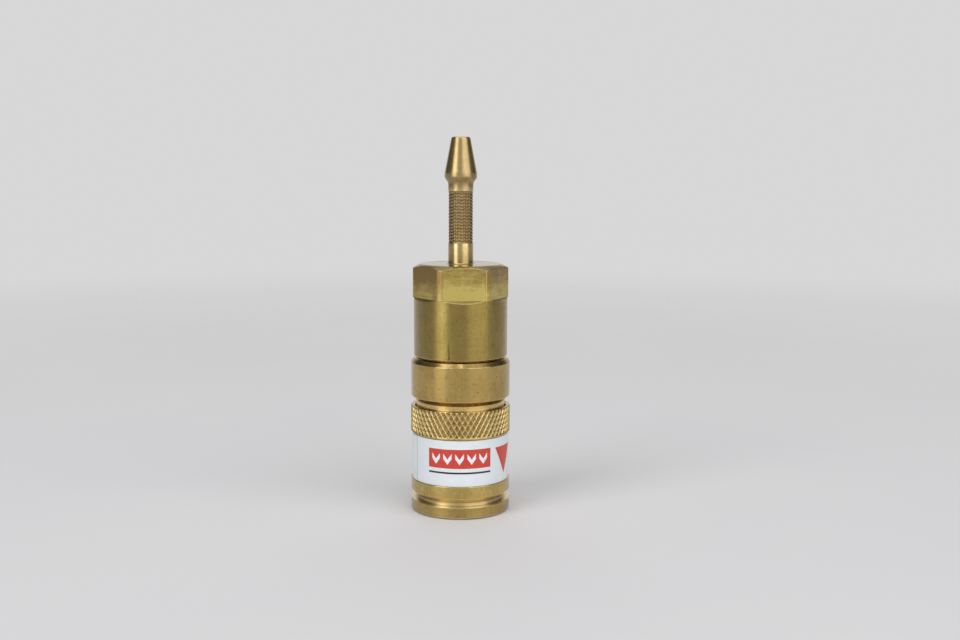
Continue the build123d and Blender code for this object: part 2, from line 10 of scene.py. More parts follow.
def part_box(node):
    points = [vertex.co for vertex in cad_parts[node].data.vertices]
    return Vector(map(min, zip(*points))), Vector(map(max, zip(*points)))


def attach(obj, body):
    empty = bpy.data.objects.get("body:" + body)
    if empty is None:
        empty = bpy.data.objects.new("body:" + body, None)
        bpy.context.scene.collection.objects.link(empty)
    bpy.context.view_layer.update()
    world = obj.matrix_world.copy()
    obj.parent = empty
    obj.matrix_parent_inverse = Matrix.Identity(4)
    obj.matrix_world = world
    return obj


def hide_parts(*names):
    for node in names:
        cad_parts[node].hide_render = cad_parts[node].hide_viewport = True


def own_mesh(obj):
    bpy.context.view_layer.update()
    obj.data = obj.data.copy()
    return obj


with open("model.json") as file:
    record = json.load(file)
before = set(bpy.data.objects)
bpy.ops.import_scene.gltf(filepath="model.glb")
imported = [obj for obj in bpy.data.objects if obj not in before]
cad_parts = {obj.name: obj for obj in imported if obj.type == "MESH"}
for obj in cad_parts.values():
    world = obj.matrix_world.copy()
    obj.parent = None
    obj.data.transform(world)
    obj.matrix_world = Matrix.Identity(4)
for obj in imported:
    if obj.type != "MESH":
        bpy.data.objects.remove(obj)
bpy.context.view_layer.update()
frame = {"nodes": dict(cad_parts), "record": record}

# Everything below is worked out in millimetres and made in metres.
MM = 0.001

# ---- Driving sizes, in millimetres ------------------------------------------------------
EDGE_R = 0.09  # rounding of turned edges
TAIL_EDGE_R = 0.05  # the same on the hose tail
HOLDING_GAP = 0.05  # a row of vertices this far from each rounding keeps the long faces true
SMALLEST_GAP = 0.005  # a holding row closer than this is left out
LONG_FACE = 0.5  # faces longer than this get holding rows at slight bends too
CORNER_DEG = 20.0  # outline corners sharper than this are rounded
CORNER_STEPS = 4
STRAIGHT_DEG = 1.0  # outline points that turn less than this are dropped
CUT_DEG = 30.37  # half plane that cuts the CAD nodes between the ball holes
BODY_STEPS = 240  # mesh steps round the coupling body
HOUSING_STEPS = 720  # and round the inlet housing
FRONT_DEG = -90.0  # direction of the camera, anticlockwise from X

GRIP_LINES = 56  # knurl lines round the sleeve, each way
GRIP_LEAN_DEG = 30.0  # their lean from the axis
GRIP_STEPS = 16  # mesh steps from one knurl line to the next
GRIP_DEPTH = 0.30
GRIP_RIDGE = 0.18  # half a ridge's width, as a share of the pitch
GRIP_MARGIN = 0.12  # height over which the knurl runs in, above the label's shoulder
GRIP_BEVEL = 0.15  # chamfer at the sleeve's top edge
GROOVE_REACH = 1.3  # the sleeve's finger groove is within this of its outside

TAIL_LINES = 26  # columns of small teeth round the hose tail
TAIL_ROW_HEIGHT = 0.685  # height of one row of them
TAIL_STEPS = 12  # mesh steps to a column and to a row
TAIL_ZIGZAG = 0.13  # rows step up and down by this share of their height
TAIL_DEPTH = 0.2
TAIL_FADE = 0.2  # height over which the teeth run out at each end
TAIL_BORE_R = 2.0  # the tail's outline is outside this, its bore inside

HEX_FLAT_R = 9.4  # from the axis to a flat
HEX_TURN_DEG = 5.4  # the front flat is turned this far from the camera
HEX_CHAMFER_R = 8.87  # where the chamfer meets the top face
HEX_CHAMFER_DEG = 28.0
HEX_RUNOUT_DEG = 28.0  # slope of the ledge under each flat
HEX_EDGE = 0.03  # width of the small bevels round a flat
HEX_EDGE_SHARPNESS = 25.0  # of the rounding between the flats and the lands
FLATS_HEIGHT = 7.4  # from a flat's ledge to the top face
FLAT_BROWN_AND_SHADE = [0.32, 0.62, 0.4, 0.75, 0.3, 0.85]  # how brown each flat is: tarnish, and painted shade on the flats beside the front one
LAND_BROWN_AND_SHADE = 0.95  # and the narrow lands between them, browned as painted shade that dims their highlights

BALL_COUNT = 6
BALL_HOLE_R = 1.55
BALL_LIP_R = 1.05  # the narrowed inner end that keeps a ball from falling in
BALL_LIP_INNER_R = 6.2
BALL_LIP_OUTER_R = 6.9
BALL_HOLE_START_R = 5.0  # the cutter reaches from here, inside the bore,
BALL_HOLE_INSET = 1.3  # to this far inside the sleeve's outside

SLEEVE_SHOULDER = 0.35  # height of the slope from the label's seat to the full radius
LABEL_EDGE_GAP = 0.05  # between the label and that slope
LABEL_THICK = 0.12  # of the CAD label, outside its seat
LABEL_SEAM_DEG = -160.5  # where the label's end lies over its beginning
LABEL_OVERLAP_DEG = 9.0
LABEL_STEPS = 480
FILM_GAP = 0.005  # glue between the seat and the film
FILM_THICK = 0.055
INK_GAP = 0.003
INK_THICK = 0.006


def box_mm(node):
    """Lowest and highest corner of a CAD node, in millimetres."""
    low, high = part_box(node)
    return low / MM, high / MM


# ---- Outlines ---------------------------------------------------------------------------
def cut_segments(node, turn_deg):
    """Where a half plane through the Z axis cuts a node's triangles: pairs of (r, z)."""
    mesh = frame["nodes"][node].data
    mesh.calc_loop_triangles()
    points = np.array([v.co for v in mesh.vertices]) / MM
    triangles = np.array([t.vertices[:] for t in mesh.loop_triangles])
    angle = math.radians(turn_deg)
    out = points[:, 0] * math.cos(angle) + points[:, 1] * math.sin(angle)
    side = points[:, 1] * math.cos(angle) - points[:, 0] * math.sin(angle)
    found = []
    for triangle in triangles:
        ends = []
        for a, b in zip(triangle, np.roll(triangle, -1)):
            if (side[a] > 0) != (side[b] > 0):
                share = side[a] / (side[a] - side[b])
                r = out[a] + share * (out[b] - out[a])
                z = points[a, 2] + share * (points[b, 2] - points[a, 2])
                ends.append((round(float(r), 3), round(float(z), 3)))
        if len(ends) == 2 and ends[0] != ends[1] and min(ends[0][0], ends[1][0]) > 0:
            found.append(ends)
    return found


def outline_of(node, turn_deg=CUT_DEG):
    """A hollow node's closed outline as (r, z) points, anticlockwise, with no spare points."""
    neighbours = {}
    for a, b in cut_segments(node, turn_deg):
        neighbours.setdefault(a, set()).add(b)
        neighbours.setdefault(b, set()).add(a)
    start = min(neighbours)
    loop = [start]
    here, before = sorted(neighbours[start])[0], start
    while here != start:
        loop.append(here)
        onward = [p for p in sorted(neighbours[here]) if p != before]
        here, before = onward[0], here
    count = len(loop)
    kept = []
    for i, here in enumerate(loop):
        if abs(turn_at(loop[i - 1], here, loop[(i + 1) % count])) > STRAIGHT_DEG:
            kept.append(here)
    area = sum(a[0] * b[1] - b[0] * a[1] for a, b in zip(kept, kept[1:] + kept[:1]))
    return kept if area > 0 else kept[::-1]


def turn_at(before, here, after):
    """Degrees that an outline turns at a point, positive to the left."""
    ax, az = here[0] - before[0], here[1] - before[1]
    bx, bz = after[0] - here[0], after[1] - here[1]
    return math.degrees(math.atan2(ax * bz - az * bx, ax * bx + az * bz))


def soften(outline, edge_r=EDGE_R):
    """Round the outline's corners. Gives rows of (r, z, wear and a darkening mark), with holding
    rows beside each corner; inner corners are darkened with soiling and painted shade."""
    rows = []
    count = len(outline)
    for i, here in enumerate(outline):
        before, after = outline[i - 1], outline[(i + 1) % count]
        turn = turn_at(before, here, after)
        corner = Vector(here)
        back, on = Vector(before) - corner, Vector(after) - corner
        if abs(turn) < CORNER_DEG:
            if back.length > LONG_FACE:
                rows.append((*(corner + back.normalized() * HOLDING_GAP), 0.0, 0.0))
            rows.append((here[0], here[1], 0.0, 0.0))
            if on.length > LONG_FACE:
                rows.append((*(corner + on.normalized() * HOLDING_GAP), 0.0, 0.0))
            continue
        half = math.radians(abs(turn)) / 2
        room = 0.42 * min(back.length, on.length)
        reach = min(edge_r * math.tan(half), room)
        back_unit, on_unit = back.normalized(), on.normalized()
        # outer corners are marked as worn, inner corners as darkened by soiling and painted shade
        wear, grime = (1.0, 0.0) if turn > 0 else (0.0, 1.0)
        hold = min(HOLDING_GAP, room - reach)
        if hold > SMALLEST_GAP:
            rows.append((*(corner + back_unit * (reach + hold)), 0.0, grime * 0.5))
        # a quadratic curve through the corner's two tangent points
        a, b = corner + back_unit * reach, corner + on_unit * reach
        for k in range(CORNER_STEPS + 1):
            t = k / CORNER_STEPS
            point = a * (1 - t) ** 2 + corner * 2 * t * (1 - t) + b * t**2
            rows.append((*point, wear, grime))
        if hold > SMALLEST_GAP:
            rows.append((*(corner + on_unit * (reach + hold)), 0.0, grime * 0.5))
    return rows


def with_rows(rows, low_z, high_z, count):
    """Insert evenly spaced rows in the long outside face between two heights."""
    middle = (low_z + high_z) / 2

    def rise(i):
        here, after = rows[i][1], rows[(i + 1) % len(rows)][1]
        return after - here if here < middle < after else -1.0

    at = max(range(len(rows)), key=rise)
    radius = rows[at][0]
    extra = [(radius, low_z + (high_z - low_z) * k / count, 0.0, 0.0) for k in range(count + 1)]
    return rows[: at + 1] + extra + rows[at + 1 :]


# ---- Mesh making ------------------------------------------------------------------------
def add_layer(mesh, layer, values):
    """Keep a number at each vertex for the materials to read."""
    attribute = mesh.attributes.new(layer, "FLOAT", "POINT")
    attribute.data.foreach_set("value", np.asarray(values, np.float32))


def link(name, vertices, faces, layers=None):
    """Make a mesh object from vertices in millimetres, with smooth faces."""
    mesh = bpy.data.meshes.new(name)
    mesh.from_pydata((np.asarray(vertices, float) * MM).tolist(), [], faces)
    mesh.update()
    for layer, values in (layers or {}).items():
        add_layer(mesh, layer, values)
    mesh.polygons.foreach_set("use_smooth", [True] * len(mesh.polygons))
    made = bpy.data.objects.new(name, mesh)
    bpy.context.scene.collection.objects.link(made)
    return made


def angles(steps):
    return np.arange(steps) * 2 * math.pi / steps


def revolve(name, rows, steps, shape=None):
    """Turn rows of (r, z, wear, grime) about Z. An entry may also be an array with a value for
    each step, and shape(theta, r, z, layers) may move the points and change their marks."""
    theta = angles(steps)
    r, z, wear, grime = (
        np.array([np.broadcast_to(row[i], steps) for row in rows], float) for i in range(4)
    )
    layers = {"wear": wear, "grime": grime, "cut": np.zeros_like(r)}
    if shape:
        r, z = shape(theta[None, :], r, z, layers)
    points = np.stack([r * np.cos(theta), r * np.sin(theta), z], -1).reshape(-1, 3)
    count = len(rows)
    faces = []
    for i in range(count):
        low, high = i * steps, ((i + 1) % count) * steps
        for j in range(steps):
            k = (j + 1) % steps
            a, b, c, d = low + j, low + k, high + k, high + j
            bend = layers["cut"][i, j] + layers["cut"][(i + 1) % count, k]
            other = layers["cut"][i, k] + layers["cut"][(i + 1) % count, j]
            if abs(bend - other) < 1e-6:
                faces.append((a, b, c, d))
            elif bend > other:
                faces += [(a, b, c), (a, c, d)]
            else:
                faces += [(a, b, d), (b, c, d)]
    flat_layers = {key: value.reshape(-1) for key, value in layers.items()}
    return link(name, points, faces, flat_layers)


def ridge(phase, share):
    """Height from 0 to 1 of a rounded ridge that takes up a share of each line's pitch."""
    away = np.abs(phase - np.round(phase)) / share
    return np.clip(1 - away, 0, 1) ** 0.8


def grip_shape(low_z, high_z, radius):
    """Raised diamond knurl: two families of leaning ridges, running out through the top bevel."""
    lean = math.tan(math.radians(GRIP_LEAN_DEG)) / radius

    def shape(theta, r, z, layers):
        in_band = (z > low_z - 1e-6) & (z < high_z + 2 * GRIP_BEVEL)
        in_band &= r > radius - GRIP_BEVEL - 0.01
        turns = GRIP_LINES / (2 * math.pi)
        up = (z - low_z) * lean
        height = np.maximum(
            ridge((theta + up) * turns, GRIP_RIDGE), ridge((theta - up) * turns, GRIP_RIDGE)
        )
        fade = np.clip((z - low_z) / GRIP_MARGIN, 0, 1)
        cut = np.where(in_band, fade * (1 - height), 0.0)
        layers["wear"][:] = np.where(in_band, fade * height, layers["wear"])
        # the pits between the ridges are darkened with soiling and painted shade
        layers["grime"][:] = np.where(in_band, cut, layers["grime"])
        layers["cut"][:] = np.where(in_band, 1 - cut, 0.0)
        return np.where(in_band, np.minimum(r, radius - GRIP_DEPTH * cut), r), z

    return shape


def tail_shape(low_z, high_z, radius):
    """Fine, dull knurl: rows of small teeth that zigzag from column to column."""

    def shape(theta, r, z, layers):
        in_band = (z > low_z - 1e-6) & (z < high_z + 1e-6) & (r > radius - 0.03)
        across = theta * TAIL_LINES / (2 * math.pi)
        up = (z - low_z) / TAIL_ROW_HEIGHT
        column = np.abs(2 * (across % 1) - 1)
        zigzag = TAIL_ZIGZAG * (2 * np.abs(2 * ((across / 2) % 1) - 1) - 1)
        row = np.abs(2 * ((up + zigzag) % 1) - 1)
        height = row**0.8 * (0.4 + 0.6 * column)
        fade = np.clip(np.minimum(z - low_z, high_z - z) / TAIL_FADE, 0, 1)
        cut = np.where(in_band, fade * (1 - np.clip(height * 1.2, 0, 1)), 0.0)
        layers["wear"][:] = np.where(in_band, 0.3 * np.clip(height * 2 - 1, 0, 1), layers["wear"])
        # the band is soiled brown, and its pits are darker still with painted shade
        layers["grime"][:] = np.where(in_band, 0.6 + 0.7 * cut, layers["grime"])
        layers["cut"][:] = np.where(in_band, 1 - cut, 0.0)
        return r - TAIL_DEPTH * cut, z

    return shape


def smooth_least(a, b, sharpness):
    """The lesser of two sizes, with the edge between them slightly rounded."""
    middle = (np.mean(a) + np.mean(b)) / 2
    total = np.exp(-sharpness * (a - middle)) + np.exp(-sharpness * (b - middle))
    return middle - np.log(total) / sharpness


def hex_rows(steps, housing_r, corner_r, ledge_z, top_z):
    """Rows for the milled hexagon, from just under its sloping ledges to its top face."""
    from_flat = angles(steps) - math.radians(FRONT_DEG + HEX_TURN_DEG)
    from_flat = (from_flat + math.pi / 6) % (math.pi / 3) - math.pi / 6
    flat_r = HEX_FLAT_R / np.cos(from_flat)
    side_r = smooth_least(flat_r, np.full(steps, corner_r), HEX_EDGE_SHARPNESS)
    runout = np.maximum(0, housing_r * np.cos(from_flat) - HEX_FLAT_R)
    foot_z = ledge_z - runout * math.tan(math.radians(HEX_RUNOUT_DEG))
    slope = math.tan(math.radians(HEX_CHAMFER_DEG))
    brow_z = top_z - (side_r - HEX_CHAMFER_R) * slope
    # wear along the upright edges, where a flat meets a land
    edge = 0.6 * np.exp(-(((flat_r - corner_r) / 0.06) ** 2))
    e, h = HEX_EDGE, HOLDING_GAP
    # the last number darkens the sloping ledge under each flat with soiling and painted shade
    return [
        (housing_r, foot_z - e - h, 0.0, 0.0),
        (housing_r, foot_z - e, 0.8, 0.0),
        (housing_r + np.sign(side_r - housing_r) * e, foot_z, 0.6, 0.3),
        (side_r - np.sign(side_r - housing_r) * e, ledge_z, 0.5 * edge, 1.0),
        (side_r, ledge_z + e, edge, 0.6),
        (side_r, ledge_z + e + h, edge, 0.0),
        (side_r, brow_z - e - h, edge, 0.0),
        (side_r, brow_z - e, 0.8, 0.0),
        (side_r - e, brow_z + e * slope, 0.8, 0.0),
        (side_r - e - h, brow_z + (e + h) * slope, 0.0, 0.0),
        (HEX_CHAMFER_R + h, top_z - h * slope, 0.0, 0.0),
        (HEX_CHAMFER_R, top_z - e * slope / 2, 0.7, 0.0),
        (HEX_CHAMFER_R - h, top_z, 0.0, 0.0),
    ]


def coil(name, mean_r, wire_r, low_z, high_z, turns):
    """A compression spring with closed ends, ground flat where they bear."""
    per_turn, sides = 72, 14
    closed_pitch = 2 * wire_r * 0.98
    ground = 0.35 * wire_r
    count = int(turns * per_turn)
    at = np.arange(count + 1) / per_turn
    closed = np.clip(at, 0, 1) + np.clip(at - (turns - 1), 0, 1)
    free = np.clip(at - 1, 0, turns - 2)
    rise = (high_z - low_z - 2 * wire_r - 2 * closed_pitch) / (turns - 2)
    centre_z = low_z + wire_r + closed * closed_pitch + free * rise
    angle = at * 2 * math.pi
    points = []
    for a, height in zip(angle, centre_z):
        for s in range(sides):
            around = 2 * math.pi * s / sides
            r = mean_r + wire_r * math.cos(around)
            z = height + wire_r * math.sin(around)
            z = min(max(z, low_z + ground), high_z - ground)
            points.append((r * math.cos(a), r * math.sin(a), z))
    faces = []
    for i in range(count):
        for s in range(sides):
            t = (s + 1) % sides
            faces.append((i * sides + s, i * sides + t, (i + 1) * sides + t, (i + 1) * sides + s))
    faces.append(tuple(range(sides))[::-1])
    faces.append(tuple(count * sides + s for s in range(sides)))
    return link(name, points, faces)


def fix_normals(piece):
    """Point every face outwards."""
    mesh = bmesh.new()
    mesh.from_mesh(piece.data)
    bmesh.ops.recalc_face_normals(mesh, faces=mesh.faces)
    mesh.to_mesh(piece.data)
    mesh.free()


def shell(name, outer, inner):
    """Close a thin sheet between two equal grids of points, outer[i][j] and inner[i][j]."""
    rows, columns = len(outer), len(outer[0])
    points = [p for row in outer for p in row] + [p for row in inner for p in row]
    behind = rows * columns
    faces = []
    for i in range(rows - 1):
        for j in range(columns - 1):
            a, b = i * columns + j, (i + 1) * columns + j
            faces.append((a, a + 1, b + 1, b))
            faces.append((behind + b, behind + b + 1, behind + a + 1, behind + a))
    edge = [(0, j) for j in range(columns)]
    edge += [(i, columns - 1) for i in range(1, rows)]
    edge += [(rows - 1, j) for j in range(columns - 2, -1, -1)]
    edge += [(i, 0) for i in range(rows - 2, 0, -1)]
    ring = [i * columns + j for i, j in edge]
    for a, b in zip(ring, ring[1:] + ring[:1]):
        faces.append((a, behind + a, behind + b, b))
    made = link(name, points, faces)
    fix_normals(made)
    return made


def on_cylinder(r, degrees, z):
    angle = math.radians(degrees)
    return (r * math.cos(angle), r * math.sin(angle), z)


def level(height):
    """A straight edge for ink()."""
    return lambda u: height


def ink(name, centre_deg, half_width, low, high, step=0.12, layer=0):
    """A printed patch on the label: for each arc position u it spans low(u) to high(u), in mm."""
    r = LABEL_R + INK_GAP + layer * INK_THICK
    count = max(4, int(2 * half_width / step)) // 2 * 2
    outer, inner = [], []
    for k in range(count + 1):
        u = -half_width + 2 * half_width * k / count
        degrees = centre_deg + math.degrees(u / LABEL_R)
        bottom, top = low(u), high(u)
        hold = min(0.03, (top - bottom) / 4)
        spans = [bottom, bottom + hold, top - hold, top]
        outer.append([on_cylinder(r + INK_THICK, degrees, z) for z in spans])
        inner.append([on_cylinder(r, degrees, z) for z in spans])
    return shell(name, outer, inner)


# ---- Materials --------------------------------------------------------------------------
class Graph:
    """Builds one procedural material, with its coordinates in millimetres."""

    def __init__(self, name, **shader_values):
        self.material = bpy.data.materials.new(name)
        self.material.use_nodes = True
        self.tree = self.material.node_tree
        self.shader = self.tree.nodes["Principled BSDF"]
        self.fill(**shader_values)
        place = self.add("ShaderNodeTexCoord").outputs["Object"]
        self.place = self.vector("SCALE", place, scale=1 / MM)
        split = self.add("ShaderNodeSeparateXYZ", {"Vector": self.place})
        self.x, self.y, self.z = split.outputs[:3]
        squares = [self.math("MULTIPLY", side, side) for side in (self.x, self.y)]
        self.radius = self.math("MAXIMUM", self.math("SQRT", self.math("ADD", *squares)), 0.01)

    def add(self, kind, links=None, **settings):
        node = self.tree.nodes.new(kind)
        for key, value in settings.items():
            setattr(node, key, value)
        for key, value in (links or {}).items():
            self.put(node.inputs[key], value)
        return node

    def put(self, socket, value):
        if isinstance(value, bpy.types.NodeSocket):
            self.tree.links.new(value, socket)
        else:
            socket.default_value = value

    def math(self, operation, a, b=0.0, clamp=False):
        node = self.add("ShaderNodeMath", {0: a, 1: b}, operation=operation, use_clamp=clamp)
        return node.outputs[0]

    def vector(self, operation, a, b=None, scale=None):
        node = self.add("ShaderNodeVectorMath", {0: a}, operation=operation)
        if b is not None:
            self.put(node.inputs[1], b)
        if scale is not None:
            node.inputs["Scale"].default_value = scale
        return node.outputs[0]

    def noise(self, scale, detail=3.0, roughness=0.5, vector=None, w=None, distortion=0.0):
        node = self.add("ShaderNodeTexNoise", {"Vector": vector or self.place})
        node.inputs["Scale"].default_value = scale
        node.inputs["Detail"].default_value = detail
        node.inputs["Roughness"].default_value = roughness
        node.inputs["Distortion"].default_value = distortion
        if w is not None:
            node.noise_dimensions = "4D"
            self.put(node.inputs["W"], w)
        return node.outputs["Fac"]

    def ramp(self, value, low, high, out_low=0.0, out_high=1.0):
        links = {"Value": value, "From Min": low, "From Max": high}
        links.update({"To Min": out_low, "To Max": out_high})
        return self.add("ShaderNodeMapRange", links).outputs["Result"]

    def mix(self, share, a, b, blend="MIX"):
        node = self.add("ShaderNodeMix", data_type="RGBA", blend_type=blend)
        self.put(node.inputs[0], share)
        self.put(node.inputs[6], a)
        self.put(node.inputs[7], b)
        return node.outputs[2]

    def layer(self, name):
        return self.add("ShaderNodeAttribute", attribute_name=name).outputs["Fac"]

    def combine(self, x, y, z, kind="XYZ"):
        return self.add("ShaderNodeCombine" + kind, {0: x, 1: y, 2: z}).outputs[0]

    def fill(self, **values):
        """Set or link the shader's own sockets."""
        for key, value in values.items():
            self.put(self.shader.inputs[key.replace("_", " ")], value)

    def bump(self, height, depth, strength=1.0, normal=None):
        """depth is in millimetres."""
        node = self.add("ShaderNodeBump", {"Height": height})
        node.inputs["Strength"].default_value = strength
        node.inputs["Distance"].default_value = depth * MM
        if normal is not None:
            self.put(node.inputs["Normal"], normal)
        return node.outputs["Normal"]

    def turned(self, fineness, round_share=1.0):
        """Noise that runs round the axis as tool marks do, changing a little along each mark."""
        unit = [self.math("DIVIDE", side, self.radius) for side in (self.x, self.y)]
        across = [self.math("MULTIPLY", side, round_share) for side in unit]
        around = self.combine(*across, self.math("MULTIPLY", self.z, fineness))
        outward = self.math("MULTIPLY", self.radius, fineness)
        return self.noise(1.0, 4.0, 0.65, vector=around, w=outward)

    def streaks(self, fineness, along):
        """Noise drawn out along the axis, as a faint rub mark is."""
        across = [self.math("MULTIPLY", side, fineness) for side in (self.x, self.y)]
        place = self.combine(*across, self.math("MULTIPLY", self.z, along))
        return self.noise(1.0, 3.0, 0.6, vector=place)


def rgb(red, green, blue):
    """A linear colour from the 0 to 255 values that it should show."""
    def linear(value):
        share = value / 255
        return share / 12.92 if share <= 0.04045 else ((share + 0.055) / 1.055) ** 2.4
    return (linear(red), linear(green), linear(blue), 1.0)


def scar_mask(g, across, low_z, high_z, width):
    """A short dark nick down the front of a round face, at a given x, narrowing upwards."""
    wobble = g.ramp(g.noise(1.4, 2.0), 0.3, 0.7, -0.12, 0.12)
    off = g.math("ABSOLUTE", g.math("SUBTRACT", g.math("ADD", g.x, wobble), across))
    line = g.ramp(off, 0.0, width, 1.0, 0.0)
    narrowing = g.math("MULTIPLY", line, g.ramp(g.z, low_z, high_z, 1.0, 0.5))
    foot = g.ramp(g.z, low_z - 0.3, low_z, 0.0, 1.0)
    head = g.ramp(g.z, high_z, high_z + 1.0, 1.0, 0.0)
    front = g.math("LESS_THAN", g.y, 0.0)
    ends = g.math("MULTIPLY", g.math("MULTIPLY", foot, head), front)
    patchy = g.ramp(g.noise(4.0, 3.0), 0.35, 0.5, 0.6, 1.0)
    return g.math("MULTIPLY", g.math("MULTIPLY", narrowing, ends), patchy, clamp=True)


def brass(name, bright, dull, rough, tarnish, marks=1.0, pits=0.5, coat=0.8, scar=None):
    """Turned brass: tool marks round the axis, patches of tarnish, dark pits, bright worn edges,
    and soiling and painted shade in its hollows, under the thin film that oil and age leave."""
    g = Graph(name, Metallic=1.0, Anisotropic=0.6, Anisotropic_Rotation=0.25,
              Coat_Weight=coat, Coat_Roughness=0.18, Coat_IOR=1.6)
    tangent = g.add("ShaderNodeTangent", direction_type="RADIAL", axis="Z").outputs[0]
    wear, grime = g.layer("wear"), g.layer("grime")
    fine, coarse = g.turned(26.0), g.turned(3.0, 0.6)
    streak = g.streaks(2.2, 0.12)
    cloud = g.noise(0.22, 5.0, 0.6, distortion=0.4)
    blotch = g.noise(1.3, 4.0, 0.65)
    mottle = g.math("ADD", g.math("MULTIPLY", cloud, 0.45), g.math("MULTIPLY", blotch, 0.35))
    stain = g.ramp(g.math("ADD", mottle, g.math("MULTIPLY", streak, 0.2)), 0.42, 0.6)
    stain = g.math("MULTIPLY", stain, tarnish, clamp=True)
    colour = g.mix(stain, bright, dull)
    shade = g.ramp(coarse, 0.3, 0.7, 0.95, 1.05)
    colour = g.mix(1.0, colour, g.combine(shade, shade, shade, "Color"), "MULTIPLY")
    speck = g.ramp(g.noise(2.2, 2.0, 0.5), 0.67, 0.71)
    pit = g.math("MULTIPLY", speck, pits, clamp=True)
    if scar:
        pit = g.math("MAXIMUM", pit, g.math("MULTIPLY", scar_mask(g, *scar), 1.4), clamp=True)
    colour = g.mix(g.math("MULTIPLY", pit, 0.7), colour, rgb(64, 44, 22))
    # soiling and painted shade: hollows, knurl pits, ledges and the collar's bevel turn brown
    darkening = g.math("MULTIPLY", grime, g.ramp(blotch, 0.3, 0.7, 0.6, 1.0), clamp=True)
    colour = g.mix(g.math("MULTIPLY", darkening, 0.75), colour, rgb(104, 76, 38))
    patchy = g.ramp(g.noise(1.1, 3.0, 0.6), 0.3, 0.6, 0.45, 1.0)
    rub = g.math("MULTIPLY", wear, patchy, clamp=True)
    colour = g.mix(g.math("MULTIPLY", rub, 0.75), colour, rgb(240, 214, 150))
    roughness = g.ramp(fine, 0.3, 0.7, rough - 0.03, rough + 0.04)
    roughness = g.math("ADD", roughness, g.math("MULTIPLY", stain, 0.08))
    roughness = g.math("ADD", roughness, g.math("MULTIPLY", darkening, 0.2))
    roughness = g.math("SUBTRACT", roughness, g.math("MULTIPLY", rub, 0.08))
    height = g.math("ADD", g.math("MULTIPLY", fine, 0.6), g.math("MULTIPLY", coarse, 0.4))
    normal = g.bump(height, 0.005 * marks)
    normal = g.bump(g.math("SUBTRACT", 1.0, pit), 0.03, 1.0, normal)
    normal = g.bump(blotch, 0.006, 0.5, normal)
    g.fill(Base_Color=colour, Roughness=roughness, Normal=normal, Tangent=tangent)
    return g.material


def milled(name, bright, dull):
    """Milled brass: cutter marks across the flats, browned more on some flats and towards the
    top, with tarnish and painted shade, and lighter near the ledge as a painted reflection."""
    g = Graph(name, Metallic=1.0, Coat_Weight=0.3, Coat_Roughness=0.25, Coat_IOR=1.5)
    wear, tone, up = g.layer("wear"), g.layer("tone"), g.layer("up")
    marks = g.turned(9.0, 0.4)
    blotch = g.noise(0.7, 4.0, 0.6)
    fine = g.noise(9.0, 3.0, 0.6)
    wavy = g.math("ADD", up, g.ramp(g.noise(0.22, 3.0, 0.55), 0.3, 0.7, -0.22, 0.22))
    # lighter near each flat's ledge as a painted reflection, browner towards the top
    brown = g.math("ADD", g.ramp(wavy, 0.1, 0.8, -0.5, 0.35), tone)
    brown = g.math("ADD", brown, g.ramp(g.turned(1.5, 0.12), 0.3, 0.7, -0.3, 0.3))
    brown = g.math("ADD", brown, g.ramp(blotch, 0.3, 0.7, -0.2, 0.2), clamp=True)
    colour = g.mix(brown, bright, dull)
    spots = g.math("MULTIPLY", g.ramp(g.noise(2.9, 2.0), 0.7, 0.74), 0.5)
    colour = g.mix(spots, colour, rgb(84, 62, 34))
    colour = g.mix(g.math("MULTIPLY", wear, 0.6), colour, rgb(236, 208, 144))
    normal = g.bump(fine, 0.002, 1.0, g.bump(marks, 0.012))
    g.fill(Base_Color=colour, Roughness=g.ramp(fine, 0.3, 0.7, 0.36, 0.44), Normal=normal)
    return g.material


def steel(name, colour, rough, marks=1.0):
    """Plain steel with a slight grain and a warmer cloud over it."""
    g = Graph(name, Metallic=1.0)
    grain = g.noise(9.0, 4.0, 0.6)
    cloud = g.ramp(g.noise(0.8, 3.0, 0.5), 0.3, 0.7, 0.0, 0.35)
    g.fill(
        Base_Color=g.mix(cloud, colour, rgb(120, 112, 100)),
        Roughness=g.ramp(grain, 0.3, 0.7, rough * 0.8, rough * 1.25),
        Normal=g.bump(grain, 0.004 * marks),
    )
    return g.material


def rubber(name):
    """Moulded black rubber, slightly greyed."""
    g = Graph(name, Metallic=0.0)
    grain = g.noise(14.0, 3.0, 0.6)
    g.fill(
        Base_Color=g.mix(g.ramp(g.noise(1.5), 0.3, 0.7), rgb(28, 28, 30), rgb(46, 45, 45)),
        Roughness=g.ramp(grain, 0.3, 0.7, 0.42, 0.6),
        Normal=g.bump(grain, 0.008),
    )
    return g.material


def sintered(name):
    """Bronze grains pressed together, dark between them."""
    g = Graph(name, Metallic=1.0)
    cells = g.add("ShaderNodeTexVoronoi", {"Vector": g.place})
    cells.inputs["Scale"].default_value = 7.0
    grain = cells.outputs["Distance"]
    g.fill(
        Base_Color=g.mix(g.ramp(grain, 0.1, 0.7), rgb(176, 132, 78), rgb(74, 50, 30)),
        Roughness=g.ramp(grain, 0.0, 0.7, 0.4, 0.75),
        Normal=g.bump(g.math("SUBTRACT", 1.0, grain), 0.06),
    )
    return g.material


def film(name, colour, edge, rough=0.34):
    """Printed label film: faint mottling, a slight orange peel and fine scuffs."""
    g = Graph(name, Metallic=0.0, IOR=1.46, Coat_Weight=0.25, Coat_Roughness=0.2)
    mottle = g.noise(0.5, 4.0, 0.6)
    scuff = g.ramp(g.noise(3.2, 5.0, 0.75, distortion=0.6), 0.63, 0.7)
    colour = g.mix(g.ramp(mottle, 0.35, 0.7, 0.0, 0.5), colour, edge)
    g.fill(
        Base_Color=g.mix(g.math("MULTIPLY", scuff, 0.12), colour, rgb(120, 116, 108)),
        Roughness=g.ramp(mottle, 0.3, 0.7, rough - 0.06, rough + 0.08),
        Normal=g.bump(g.noise(2.2, 3.0, 0.5), 0.012, 0.6),
    )
    return g.material


